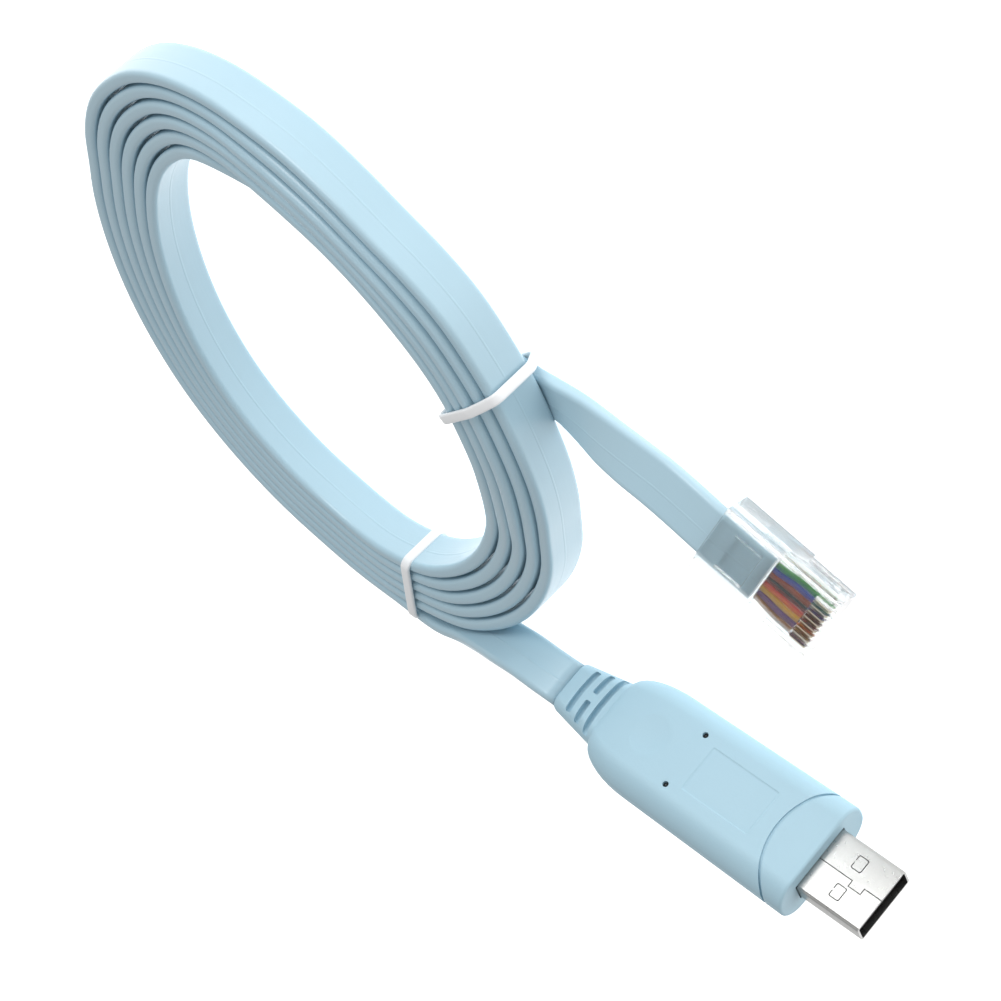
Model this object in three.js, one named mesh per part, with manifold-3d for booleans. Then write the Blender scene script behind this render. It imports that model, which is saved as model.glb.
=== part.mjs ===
// Console cable: a USB-A plug and an 8-contact modular plug on one flat cable,
// wound on edge into an oval hank and held by two ties.
// Millimetres, +Z up. The USB plug's axis is X with its mouth towards -X, the object
// lies on the plane z = 0, and the origin is under the middle of the USB plug.
import * as THREE from 'three';
import { mergeVertices, mergeGeometries } from 'three/addons/utils/BufferGeometryUtils.js';
import Module from 'manifold-3d';

const wasm = await Module();
wasm.setup();

// Driving dimensions: flat cable
const CABLE_WIDTH = 8.2;
const CABLE_THICKNESS = 2.4;
const SEAT_GAP = 0.3;

// Driving dimensions: USB plug, lengths measured back from the housing's front face
const SHELL_WIDTH = 12.0;
const SHELL_HEIGHT = 4.5;
const SHELL_REACH = 12.2;
const SHELL_WALL = 0.35;
const SHELL_CORNER = 0.6;
const SHELL_INSERT = 4.0;
const WINDOW_WIDTH = 2.5;
const WINDOW_LENGTH = 2.0;
const WINDOW_SPACING = 5.6;
const WINDOW_FROM_MOUTH = 6.4;
const TONGUE_THICKNESS = 1.7;
const TONGUE_SETBACK = 0.6;
const CONTACT_COUNT = 4;
const CONTACT_PITCH = 2.3;
const CONTACT_WIDTH = 1.0;
const CONTACT_LENGTH = 7.4;
const CONTACT_THICKNESS = 0.25;
const HOUSING_LENGTH = 43.0;
const HOUSING_WIDTH = 20.5;
const HOUSING_SHOULDER_WIDTH = 19.4;
const HOUSING_THICKNESS = 10.0;
const HOUSING_REAR_WIDTH = 12.4;
const HOUSING_REAR_THICKNESS = 7.2;
const SHOULDER_LENGTH = 9.5;
const SECTION_POWER = 2.7;
const RELIEF_LENGTH = 9.5;
const RELIEF_END_WIDTH = CABLE_WIDTH + 1.0;
const RELIEF_END_THICKNESS = CABLE_THICKNESS + 1.8;
const SLOT_COUNT = 3;
const SLOT_WIDTH = 1.1;
const SLOT_DEPTH = 0.9;
const SLOT_PITCH = 2.4;
const SLOT_BRIDGE = 1.6;
const GROOVE_WIDTH = 0.7;
const GROOVE_DEPTH = 0.35;
const GROOVE_AT_SIDE = 3.6;
const GROOVE_AT_MIDDLE = 7.8;
const LED_DIAMETER = 1.05;
const LED_SPACING = 10.1;
const LED_FROM_FRONT = 26.8;
const LED_DEPTH = 1.5;
const LABEL_LENGTH = 14.0;
const LABEL_WIDTH = 9.0;
const LABEL_FROM_FRONT = 17.6;
const LABEL_DEPTH = 0.15;
const PLUG_LEAN = 12.0;

// Driving dimensions: modular plug, lengths measured forward from its rear face
const JACK_LENGTH = 21.46;
const JACK_WIDTH = 11.68;
const JACK_THICKNESS = 6.6;
const JACK_FACE = [-1.3, -70.4, 8.9];
const JACK_YAW = 163.6;
const JACK_TILT = 52.8;
const JACKET_WALL = 1.25;
const JACKET_DEPTH = 10.5;
const WIRE_COUNT = 8;
const WIRE_PITCH = 1.02;
const WIRE_DIAMETER = 0.8;
const WIRE_GAP = 0.2;
const WIRE_END = 20.2;
const BLADE_THICKNESS = 0.3;
const BLADE_LENGTH = 4.6;
const BLADE_HEIGHT = 1.4;
const BLADE_GAP = 0.15;
const BLADE_FROM_FRONT = 0.6;
const BLADE_RECESS = 0.35;
const LATCH_WIDTH = 6.2;
const LATCH_THICKNESS = 0.9;
const LATCH_LENGTH = 14.0;
const LATCH_ROOT = 2.4;
const LATCH_STANDOFF = 1.3;

// Driving dimensions: hank, a spiral of turns standing on their narrow edge
const TIGHT_PITCH = 2.58;
const LOOSE_PITCH = 2.88;
const NEAR_LAYERS = 5;
const FAR_LAYERS = 6;
const TIE_WIDTH = 2.0;
const TIE_THICKNESS = 0.8;
const HANK_STEPS = 96;

// The turns ride over the cable and the ties beneath them: how far they are
// lifted, where along the hank counted in stations, and over what reach
const CROSSING_LIFT = { height: 3.65, at: 0, flat: 0.7, reach: 3.2 };
const TIE_LIFT = { height: 1.1, at: 13.6, flat: 0.3, reach: 1.8 };

// Inner edge of the hank seen from above, with the layers outside each point
// and the pitch of the turns there
const HANK_STATIONS = [
  { at: [50.0, -66.0], layers: NEAR_LAYERS, pitch: TIGHT_PITCH },
  { at: [57.0, -74.5], layers: NEAR_LAYERS, pitch: TIGHT_PITCH },
  { at: [67.0, -81.5], layers: NEAR_LAYERS, pitch: TIGHT_PITCH },
  { at: [80.0, -85.2], layers: NEAR_LAYERS, pitch: LOOSE_PITCH },
  { at: [93.5, -83.8], layers: NEAR_LAYERS + 0.5, pitch: LOOSE_PITCH },
  { at: [105.0, -77.0], layers: FAR_LAYERS, pitch: LOOSE_PITCH },
  { at: [113.0, -66.5], layers: FAR_LAYERS, pitch: LOOSE_PITCH },
  { at: [117.5, -53.0], layers: FAR_LAYERS, pitch: TIGHT_PITCH },
  { at: [118.5, -38.0], layers: FAR_LAYERS, pitch: TIGHT_PITCH },
  { at: [116.0, -23.5], layers: FAR_LAYERS, pitch: TIGHT_PITCH },
  { at: [110.0, -11.5], layers: FAR_LAYERS, pitch: TIGHT_PITCH },
  { at: [100.5, -3.0], layers: FAR_LAYERS, pitch: TIGHT_PITCH },
  { at: [89.0, 1.5], layers: FAR_LAYERS, pitch: TIGHT_PITCH },
  { at: [76.5, 1.3], layers: FAR_LAYERS, pitch: TIGHT_PITCH },
  { at: [64.5, -4.0], layers: NEAR_LAYERS, pitch: LOOSE_PITCH },
  { at: [54.5, -13.5], layers: NEAR_LAYERS, pitch: LOOSE_PITCH },
  { at: [48.0, -26.0], layers: NEAR_LAYERS, pitch: LOOSE_PITCH },
  { at: [45.2, -40.0], layers: NEAR_LAYERS, pitch: TIGHT_PITCH },
  { at: [46.0, -54.0], layers: NEAR_LAYERS, pitch: TIGHT_PITCH },
];

// Routes of the two free stretches: a point on the middle of the cable and the
// elevation of the broad face's normal there, 0 where the cable stands on edge
const USB_LEAD = [
  { at: [32.9, 0.0, 10.2], tilt: PLUG_LEAN },
  { at: [37.5, 0.1, 10.2], tilt: PLUG_LEAN },
  { at: [42.5, 1.1, 9.7], tilt: 10 },
  { at: [48.0, 3.9, 8.7], tilt: 7 },
  { at: [54.0, 8.0, 7.1], tilt: 4 },
  { at: [60.0, 12.1, 5.8], tilt: 1 },
  { at: [66.0, 15.2, 5.3], tilt: 0 },
];
const JACK_LEAD = [
  { at: [-10.37, -66.19, 6.9], tilt: JACK_TILT },
  { at: [-5.6, -67.59, 6.9], tilt: JACK_TILT },
  { at: [-0.88, -68.98, 6.9], tilt: JACK_TILT },
  { at: [4.5, -70.1, 6.6], tilt: 51 },
  { at: [10.5, -70.3, 5.9], tilt: 50 },
  { at: [16.5, -69.6, 5.1], tilt: 53 },
  { at: [22.5, -68.8, 4.1], tilt: 61 },
  { at: [28.0, -68.0, 2.9], tilt: 73 },
  { at: [33.0, -67.4, 2.35], tilt: 85 },
  { at: [37.5, -67.0, 2.35], tilt: 90 },
  { at: [43.0, -67.2, 2.35], tilt: 90 },
  { at: [48.5, -67.8, 2.35], tilt: 90 },
  { at: [53.5, -68.6, 2.3], tilt: 89 },
  { at: [59.0, -70.2, 2.2], tilt: 83 },
  { at: [65.0, -73.2, 2.8], tilt: 60 },
  { at: [71.5, -77.0, 3.7], tilt: 32 },
  { at: [78.0, -79.6, 4.2], tilt: 10 },
  { at: [84.5, -81.0, 4.25], tilt: 0 },
];
const ROUTE_STEPS = 4;

// Ties: the two ends of the line that each one crosses the hank along, and the
// lift of the turns there
const TIES = [
  { name: 'tie_1', inner: [49.6, -60.6], outer: [37.6, -73.0], lift: CROSSING_LIFT.height },
  { name: 'tie_2', inner: [69.6, -2.2], outer: [70.6, 17.6], lift: TIE_LIFT.height },
];

const LIGHT_BLUE = 0xb0d0e2;
const WIRE_COLOURS = [0x1f8a3c, 0x2b50a8, 0x8a4a20, 0x1c1c20, 0xc8452a, 0xe0b428, 0x6a3c94, 0xb08a60];
const material = (color, roughness, metalness = 0) =>
  new THREE.MeshStandardMaterial({ color, roughness, metalness });
const cableVinyl = material(LIGHT_BLUE, 0.42);
const housingVinyl = material(0xafd2e4, 0.5);
const shellNickel = material(0xc9c8c4, 0.28, 1);
const tonguePlastic = material(0x1b1d1e, 0.5);
const contactGold = material(0xd2a545, 0.3, 1);
const clearPlastic = material(0xe8eef0, 0.1);
const tiePlastic = material(0xf4f5f6, 0.55);

const radians = THREE.MathUtils.degToRad;

/** Turns a closed geometry into a solid that can be joined and cut. */
function toSolid(geometry) {
  const bare = geometry.index ? geometry.toNonIndexed() : geometry.clone();
  for (const key of Object.keys(bare.attributes)) {
    if (key !== 'position') bare.deleteAttribute(key);
  }
  const merged = mergeVertices(bare, 1e-5);
  return new wasm.Manifold(new wasm.Mesh({
    numProp: 3,
    vertProperties: new Float32Array(merged.attributes.position.array),
    triVerts: new Uint32Array(merged.index.array),
  }));
}

/** Turns a solid back into a geometry. */
function toGeometry(solid) {
  const mesh = solid.getMesh();
  const geometry = new THREE.BufferGeometry();
  geometry.setAttribute('position', new THREE.BufferAttribute(new Float32Array(mesh.vertProperties), 3));
  geometry.setIndex(Array.from(mesh.triVerts));
  return geometry;
}

/** Skins a row of rings with equally many points, and closes both ends. */
function loft(rings) {
  const sides = rings[0].length;
  const points = rings.flat();
  const faces = [];
  for (let i = 0; i < rings.length - 1; i += 1) {
    for (let j = 0; j < sides; j += 1) {
      const a = i * sides + j;
      const b = i * sides + (j + 1) % sides;
      faces.push(a, b, b + sides, a, b + sides, a + sides);
    }
  }
  const last = (rings.length - 1) * sides;
  for (let j = 1; j < sides - 1; j += 1) {
    faces.push(0, j + 1, j, last, last + j, last + j + 1);
  }
  const geometry = new THREE.BufferGeometry().setFromPoints(points);
  geometry.setIndex(signedVolume(points, faces) < 0 ? faces.reverse() : faces);
  return geometry;
}

/** Six times the volume that the faces enclose, negative when they point inwards. */
function signedVolume(points, faces) {
  let total = 0;
  for (let i = 0; i < faces.length; i += 3) {
    const [a, b, c] = [points[faces[i]], points[faces[i + 1]], points[faces[i + 2]]];
    total += a.dot(new THREE.Vector3().crossVectors(b, c));
  }
  return total;
}

/** A box given by its lowest and highest corners. */
function boxBetween(low, high) {
  const size = high.map((value, i) => value - low[i]);
  const middle = high.map((value, i) => (value + low[i]) / 2);
  return new THREE.BoxGeometry(...size).translate(...middle);
}

/** Rounded rectangle ring in the plug's own frame at distance x: y is thickness, z is width. */
function roundedRing(x, width, thickness, corner, perCorner = 3) {
  const ring = [];
  const hz = width / 2 - corner;
  const hy = thickness / 2 - corner;
  const centres = [[hy, hz, 0], [-hy, hz, 90], [-hy, -hz, 180], [hy, -hz, 270]];
  for (const [cy, cz, start] of centres) {
    for (let i = 0; i <= perCorner; i += 1) {
      const angle = radians(start + (90 * i) / perCorner);
      ring.push(new THREE.Vector3(x, cy + corner * Math.cos(angle), cz + corner * Math.sin(angle)));
    }
  }
  return ring;
}

/** Superellipse ring, the housing's cross-section, inset evenly from its surface. */
function ovalRing(x, width, thickness, inset = 0, count = 40) {
  const ring = [];
  const hw = width / 2 - inset;
  const ht = thickness / 2 - inset;
  const power = 2 / SECTION_POWER;
  for (let i = 0; i < count; i += 1) {
    const angle = (2 * Math.PI * i) / count;
    const c = Math.cos(angle);
    const s = Math.sin(angle);
    ring.push(new THREE.Vector3(x, ht * Math.sign(c) * Math.abs(c) ** power,
      hw * Math.sign(s) * Math.abs(s) ** power));
  }
  return ring;
}

/** Rings of the housing and its strain relief from front to rear. */
function housingRings(inset = 0) {
  const rings = [];
  const edge = 0.7;
  rings.push(ovalRing(0, HOUSING_WIDTH - edge, HOUSING_THICKNESS - edge, inset));
  rings.push(ovalRing(edge, HOUSING_WIDTH, HOUSING_THICKNESS, inset));
  const shoulderStart = HOUSING_LENGTH - SHOULDER_LENGTH;
  rings.push(ovalRing(shoulderStart, HOUSING_SHOULDER_WIDTH, HOUSING_THICKNESS, inset));
  const steps = 6;
  for (let i = 1; i <= steps; i += 1) {
    const angle = (Math.PI / 2) * (i / steps);
    const drop = 1 - Math.cos(angle);
    rings.push(ovalRing(shoulderStart + SHOULDER_LENGTH * Math.sin(angle),
      HOUSING_SHOULDER_WIDTH - (HOUSING_SHOULDER_WIDTH - HOUSING_REAR_WIDTH) * drop,
      HOUSING_THICKNESS - (HOUSING_THICKNESS - HOUSING_REAR_THICKNESS) * drop, inset));
  }
  rings.push(ovalRing(HOUSING_LENGTH + RELIEF_LENGTH, RELIEF_END_WIDTH, RELIEF_END_THICKNESS, inset));
  return rings;
}

/** Middle of the arched groove at a height z across the broad face. */
function grooveAt(z) {
  const share = 1 - (2 * z / HOUSING_WIDTH) ** 2;
  return GROOVE_AT_SIDE + (GROOVE_AT_MIDDLE - GROOVE_AT_SIDE) * Math.max(share, 0);
}

/** Prism through the whole thickness under the arched groove. */
function grooveStrip() {
  const shape = new THREE.Shape();
  const steps = 12;
  const reach = HOUSING_WIDTH / 2 + 1;
  const side = (offset, from, to) => {
    const points = [];
    for (let i = 0; i <= steps; i += 1) {
      const z = from + ((to - from) * i) / steps;
      points.push(new THREE.Vector2(grooveAt(z) + offset, z));
    }
    return points;
  };
  shape.setFromPoints([...side(-GROOVE_WIDTH / 2, -reach, reach), ...side(GROOVE_WIDTH / 2, reach, -reach)]);
  return new THREE.ExtrudeGeometry(shape, { depth: HOUSING_THICKNESS + 2, bevelEnabled: false })
    .translate(0, 0, -(HOUSING_THICKNESS + 2) / 2)
    .rotateX(Math.PI / 2);
}

/** The moulded housing with its strain relief, groove, slots, holes and shell pocket. */
function usbHousing() {
  let body = toSolid(loft(housingRings()));
  body = body.subtract(toSolid(grooveStrip()).subtract(toSolid(loft(housingRings(GROOVE_DEPTH)))));
  const core = toSolid(loft(housingRings(SLOT_DEPTH)));
  const half = RELIEF_END_WIDTH / 2;
  for (let i = 0; i < SLOT_COUNT; i += 1) {
    const x = HOUSING_LENGTH + 2.0 + SLOT_PITCH * i;
    const runs = i === 1 ? [[-half, -SLOT_BRIDGE / 2], [SLOT_BRIDGE / 2, half]] : [[-half + 0.4, half - 0.4]];
    for (const [z0, z1] of runs) {
      const slot = boxBetween([x - SLOT_WIDTH / 2, -HOUSING_THICKNESS, z0], [x + SLOT_WIDTH / 2, HOUSING_THICKNESS, z1]);
      body = body.subtract(toSolid(slot).subtract(core));
    }
  }
  const pocket = boxBetween(
    [-1, -SHELL_HEIGHT / 2 - SEAT_GAP, -SHELL_WIDTH / 2 - SEAT_GAP],
    [SHELL_INSERT + SEAT_GAP, SHELL_HEIGHT / 2 + SEAT_GAP, SHELL_WIDTH / 2 + SEAT_GAP]);
  body = body.subtract(toSolid(pocket));
  const face = -HOUSING_THICKNESS / 2;
  for (const side of [-1, 1]) {
    const hole = new THREE.CylinderGeometry(LED_DIAMETER / 2, LED_DIAMETER / 2, LED_DEPTH * 2, 16)
      .translate(LED_FROM_FRONT, face, (side * LED_SPACING) / 2);
    body = body.subtract(toSolid(hole));
  }
  const label = boxBetween(
    [LABEL_FROM_FRONT - LABEL_LENGTH / 2, face - 1, -LABEL_WIDTH / 2],
    [LABEL_FROM_FRONT + LABEL_LENGTH / 2, face + LABEL_DEPTH, LABEL_WIDTH / 2]);
  return toGeometry(body.subtract(toSolid(label)));
}

/** The folded metal shell with its four windows, open at both ends. */
function usbShell() {
  const outer = [-SHELL_REACH, SHELL_INSERT].map((x) => roundedRing(x, SHELL_WIDTH, SHELL_HEIGHT, SHELL_CORNER));
  const bore = SHELL_CORNER - SHELL_WALL;
  const inner = [-SHELL_REACH - 1, SHELL_INSERT + 1].map((x) =>
    roundedRing(x, SHELL_WIDTH - 2 * SHELL_WALL, SHELL_HEIGHT - 2 * SHELL_WALL, bore));
  let shell = toSolid(loft(outer)).subtract(toSolid(loft(inner)));
  const x = -SHELL_REACH + WINDOW_FROM_MOUTH;
  for (const side of [-1, 1]) {
    const z = (side * WINDOW_SPACING) / 2;
    shell = shell.subtract(toSolid(boxBetween(
      [x - WINDOW_LENGTH / 2, -SHELL_HEIGHT, z - WINDOW_WIDTH / 2],
      [x + WINDOW_LENGTH / 2, SHELL_HEIGHT, z + WINDOW_WIDTH / 2])));
  }
  return toGeometry(shell);
}

const CAVITY_WIDTH = SHELL_WIDTH - 2 * SHELL_WALL - 2 * SEAT_GAP;
const CAVITY_HEIGHT = SHELL_HEIGHT - 2 * SHELL_WALL - 2 * SEAT_GAP;
const TONGUE_FACE = -CAVITY_HEIGHT / 2 + TONGUE_THICKNESS;
const TONGUE_ROOT = -1.5;

/** The insulator: a block in the shell's rear that carries the contact tongue. */
function usbTongue() {
  const block = boxBetween([TONGUE_ROOT, -CAVITY_HEIGHT / 2, -CAVITY_WIDTH / 2],
    [SHELL_INSERT, CAVITY_HEIGHT / 2, CAVITY_WIDTH / 2]);
  const tongue = boxBetween([-SHELL_REACH + TONGUE_SETBACK, -CAVITY_HEIGHT / 2, -CAVITY_WIDTH / 2],
    [TONGUE_ROOT + 1, TONGUE_FACE, CAVITY_WIDTH / 2]);
  return toGeometry(toSolid(block).add(toSolid(tongue)));
}

/** One flat contact strip on the tongue. */
function usbContact(index) {
  const z = (index - (CONTACT_COUNT - 1) / 2) * CONTACT_PITCH;
  const rear = TONGUE_ROOT - SEAT_GAP;
  const y = TONGUE_FACE + SEAT_GAP;
  return boxBetween([rear - CONTACT_LENGTH, y, z - CONTACT_WIDTH / 2],
    [rear, y + CONTACT_THICKNESS, z + CONTACT_WIDTH / 2]);
}

/** Height of the plug's axis that brings the leaning housing's edge down to the floor. */
function plugAxisHeight() {
  const lean = radians(PLUG_LEAN);
  const lowest = ovalRing(0, HOUSING_WIDTH, HOUSING_THICKNESS).map((p) =>
    p.z * Math.cos(lean) - p.y * Math.sin(lean));
  return -Math.min(...lowest);
}

const jackMiddle = (index) => (index - (WIRE_COUNT - 1) / 2) * WIRE_PITCH;
const CABLE_DEPTH = JACKET_WALL + CABLE_THICKNESS / 2;
const LATCH_FRONT = JACK_LENGTH - LATCH_ROOT;

/** The clear modular plug with its cable bore, wire bore, blade slots and latch. */
function jackBody() {
  const half = JACK_WIDTH / 2;
  const profile = new THREE.Shape();
  profile.moveTo(0, -JACK_THICKNESS);
  profile.lineTo(JACK_LENGTH, -JACK_THICKNESS);
  profile.lineTo(JACK_LENGTH, -1.0);
  profile.lineTo(JACK_LENGTH - 1.0, 0);
  profile.lineTo(0, 0);
  let body = toSolid(new THREE.ExtrudeGeometry(profile, { depth: JACK_WIDTH, bevelEnabled: false })
    .translate(0, 0, -half).rotateX(Math.PI / 2));
  const gap = SEAT_GAP;
  body = body.subtract(toSolid(boxBetween(
    [-1, -CABLE_WIDTH / 2 - gap, -CABLE_DEPTH - CABLE_THICKNESS / 2 - gap],
    [JACKET_DEPTH, CABLE_WIDTH / 2 + gap, -CABLE_DEPTH + CABLE_THICKNESS / 2 + gap])));
  const wireHalf = jackMiddle(WIRE_COUNT - 1) + WIRE_DIAMETER / 2 + WIRE_GAP;
  const wireHeight = WIRE_DIAMETER / 2 + WIRE_GAP;
  body = body.subtract(toSolid(boxBetween(
    [JACKET_DEPTH - 1, -wireHalf, -CABLE_DEPTH - wireHeight],
    [WIRE_END + WIRE_GAP, wireHalf, -CABLE_DEPTH + wireHeight])));
  for (let i = 0; i < WIRE_COUNT; i += 1) {
    const y = jackMiddle(i);
    const reach = BLADE_THICKNESS / 2 + BLADE_GAP;
    body = body.subtract(toSolid(boxBetween(
      [JACK_LENGTH - BLADE_FROM_FRONT - BLADE_LENGTH - BLADE_GAP, y - reach, -BLADE_RECESS - BLADE_HEIGHT - BLADE_GAP],
      [JACK_LENGTH + 1, y + reach, 1])));
  }
  const latch = new THREE.Shape();
  const tail = LATCH_FRONT - LATCH_LENGTH;
  latch.moveTo(LATCH_FRONT, -JACK_THICKNESS + 0.5);
  latch.lineTo(LATCH_FRONT - 1.6, -JACK_THICKNESS + 0.5);
  latch.lineTo(LATCH_FRONT - 2.2, -JACK_THICKNESS - 0.5);
  latch.lineTo(tail, -JACK_THICKNESS - LATCH_STANDOFF);
  latch.lineTo(tail, -JACK_THICKNESS - LATCH_STANDOFF - LATCH_THICKNESS);
  latch.lineTo(LATCH_FRONT, -JACK_THICKNESS - LATCH_THICKNESS);
  body = body.add(toSolid(new THREE.ExtrudeGeometry(latch, { depth: LATCH_WIDTH, bevelEnabled: false })
    .translate(0, 0, -LATCH_WIDTH / 2).rotateX(Math.PI / 2)));
  return toGeometry(body);
}

/** One contact blade standing in its slot at the plug's front. */
function jackBlade(index) {
  const y = jackMiddle(index);
  const front = JACK_LENGTH - BLADE_FROM_FRONT;
  return boxBetween([front - BLADE_LENGTH, y - BLADE_THICKNESS / 2, -BLADE_RECESS - BLADE_HEIGHT],
    [front, y + BLADE_THICKNESS / 2, -BLADE_RECESS]);
}

/** One insulated wire between the end of the cable's jacket and the blades. */
function jackWire(index) {
  const start = JACKET_DEPTH - SEAT_GAP;
  return new THREE.CylinderGeometry(WIRE_DIAMETER / 2, WIRE_DIAMETER / 2, WIRE_END - start, 10)
    .rotateZ(Math.PI / 2)
    .translate((WIRE_END + start) / 2, jackMiddle(index), -CABLE_DEPTH);
}

/** Section of the flat cable: rounded narrow edges and flat broad faces. */
function cableSection() {
  const flat = CABLE_WIDTH / 2 - CABLE_THICKNESS / 2;
  const r = CABLE_THICKNESS / 2;
  const points = [];
  for (const [side, start] of [[1, -90], [-1, 90]]) {
    for (const turn of [0, 45, 90, 135, 180]) {
      const angle = radians(start + turn);
      points.push([side * flat + r * Math.cos(angle), r * Math.sin(angle)]);
    }
  }
  return points;
}

/** A stretch of flat cable along a route whose broad face tilts as it goes. */
function ribbon(route) {
  const curve = new THREE.CatmullRomCurve3(route.map((stop) => new THREE.Vector3(...stop.at)), false, 'centripetal');
  const steps = (route.length - 1) * ROUTE_STEPS;
  const rings = [];
  for (let i = 0; i <= steps; i += 1) {
    const t = i / steps;
    const stop = Math.min(Math.floor(t * (route.length - 1)), route.length - 2);
    const share = t * (route.length - 1) - stop;
    const tilt = radians(THREE.MathUtils.lerp(route[stop].tilt, route[stop + 1].tilt, share));
    const along = curve.getTangent(t);
    const level = new THREE.Vector3(-along.y, along.x, 0).normalize();
    const upright = new THREE.Vector3().crossVectors(along, level);
    const across = upright.clone().multiplyScalar(Math.cos(tilt)).addScaledVector(level, Math.sin(tilt));
    const normal = new THREE.Vector3().crossVectors(along, across);
    const centre = curve.getPoint(t);
    rings.push(cableSection().map(([w, n]) =>
      centre.clone().addScaledVector(across, w).addScaledVector(normal, n)));
  }
  return loft(rings);
}

/** How far one lift raises the turns at a place counted in stations. */
function liftFrom(lift, place) {
  const apart = Math.abs(place - lift.at);
  const nearest = Math.min(apart, HANK_STATIONS.length - apart);
  return lift.height * (1 - THREE.MathUtils.smoothstep(nearest, lift.flat, lift.reach));
}

/** The wound turns as one closed ring that rides over whatever passes beneath it. */
function cableCoil() {
  const curve = new THREE.CatmullRomCurve3(
    HANK_STATIONS.map((station) => new THREE.Vector3(station.at[0], station.at[1], 0)), true, 'centripetal');
  const points = [];
  const faces = [];
  for (let i = 0; i < HANK_STEPS; i += 1) {
    const place = (i / HANK_STEPS) * HANK_STATIONS.length;
    const here = HANK_STATIONS[Math.floor(place)];
    const next = HANK_STATIONS[(Math.floor(place) + 1) % HANK_STATIONS.length];
    const share = THREE.MathUtils.smoothstep(place % 1, 0, 1);
    const depth = THREE.MathUtils.lerp(here.layers * here.pitch, next.layers * next.pitch, share);
    const low = Math.max(liftFrom(CROSSING_LIFT, place), liftFrom(TIE_LIFT, place));
    const inner = curve.getPoint(i / HANK_STEPS);
    const tangent = curve.getTangent(i / HANK_STEPS);
    const outer = new THREE.Vector3(inner.x + tangent.y * depth, inner.y - tangent.x * depth, 0);
    for (const [base, height] of [[inner, low], [outer, low], [outer, low + CABLE_WIDTH], [inner, low + CABLE_WIDTH]]) {
      points.push(new THREE.Vector3(base.x, base.y, height));
    }
    for (let j = 0; j < 4; j += 1) {
      const a = i * 4 + j;
      const b = i * 4 + (j + 1) % 4;
      const [c, d] = [a, b].map((index) => (index + 4) % (HANK_STEPS * 4));
      faces.push(a, b, d, a, d, c);
    }
  }
  const geometry = new THREE.BufferGeometry().setFromPoints(points);
  geometry.setIndex(signedVolume(points, faces) < 0 ? faces.reverse() : faces);
  return geometry;
}

/** A box that stands across the hank along a tie's line. */
function acrossHank(tie, width, low, high, reach) {
  const from = new THREE.Vector2(...tie.inner);
  const to = new THREE.Vector2(...tie.outer);
  const line = to.clone().sub(from);
  const middle = from.clone().add(to).multiplyScalar(0.5);
  return new THREE.BoxGeometry(line.length() + 2 * reach, width, high - low)
    .rotateZ(Math.atan2(line.y, line.x))
    .translate(middle.x, middle.y, (low + high) / 2);
}

/** One tie: a closed flat loop round the bundle. */
function tieLoop(tie) {
  const top = CABLE_WIDTH + tie.lift + SEAT_GAP;
  const outerBox = acrossHank(tie, TIE_WIDTH, 0, top + TIE_THICKNESS, SEAT_GAP + TIE_THICKNESS);
  const innerBox = acrossHank(tie, TIE_WIDTH + 2, TIE_THICKNESS, top, SEAT_GAP);
  return toGeometry(toSolid(outerBox).subtract(toSolid(innerBox)));
}

const cable = new THREE.Group();

/** Adds one named piece to a group. */
function addPiece(group, name, geometry, finish) {
  const mesh = new THREE.Mesh(geometry, finish);
  mesh.name = name;
  group.add(mesh);
}

const usbPlug = new THREE.Group();
addPiece(usbPlug, 'usb_housing', usbHousing(), housingVinyl);
addPiece(usbPlug, 'usb_shell', usbShell(), shellNickel);
addPiece(usbPlug, 'usb_tongue', usbTongue(), tonguePlastic);
for (let i = 0; i < CONTACT_COUNT; i += 1) {
  addPiece(usbPlug, `usb_contact_${i + 1}`, usbContact(i), contactGold);
}
usbPlug.rotation.x = -radians(PLUG_LEAN);
usbPlug.position.set((SHELL_REACH - HOUSING_LENGTH - RELIEF_LENGTH) / 2, 0, plugAxisHeight());
cable.add(usbPlug);

const jack = new THREE.Group();
addPiece(jack, 'rj45_body', jackBody(), clearPlastic);
for (let i = 0; i < WIRE_COUNT; i += 1) {
  addPiece(jack, `rj45_contact_${i + 1}`, jackBlade(i), contactGold);
  addPiece(jack, `rj45_wire_${i + 1}`, jackWire(i), material(WIRE_COLOURS[i], 0.5));
}
jack.position.set(...JACK_FACE);
jack.rotation.set(radians(JACK_TILT - 90), 0, radians(JACK_YAW), 'ZXY');
cable.add(jack);

addPiece(cable, 'cable_coil', cableCoil(), cableVinyl);
addPiece(cable, 'cable_lead_usb', ribbon(USB_LEAD), cableVinyl);
addPiece(cable, 'cable_lead_rj45', ribbon(JACK_LEAD), cableVinyl);
for (const tie of TIES) {
  addPiece(cable, tie.name, tieLoop(tie), tiePlastic);
}

export default cable;
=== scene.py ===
"""Looks of a flat console cable: a USB-A plug and a clear modular plug on a wound hank."""

from __future__ import annotations

import logging
import math
from dataclasses import dataclass, field
from enum import Enum
from typing import Iterable, Sequence

import bmesh
import bpy
from mathutils import Matrix, Vector


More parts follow.
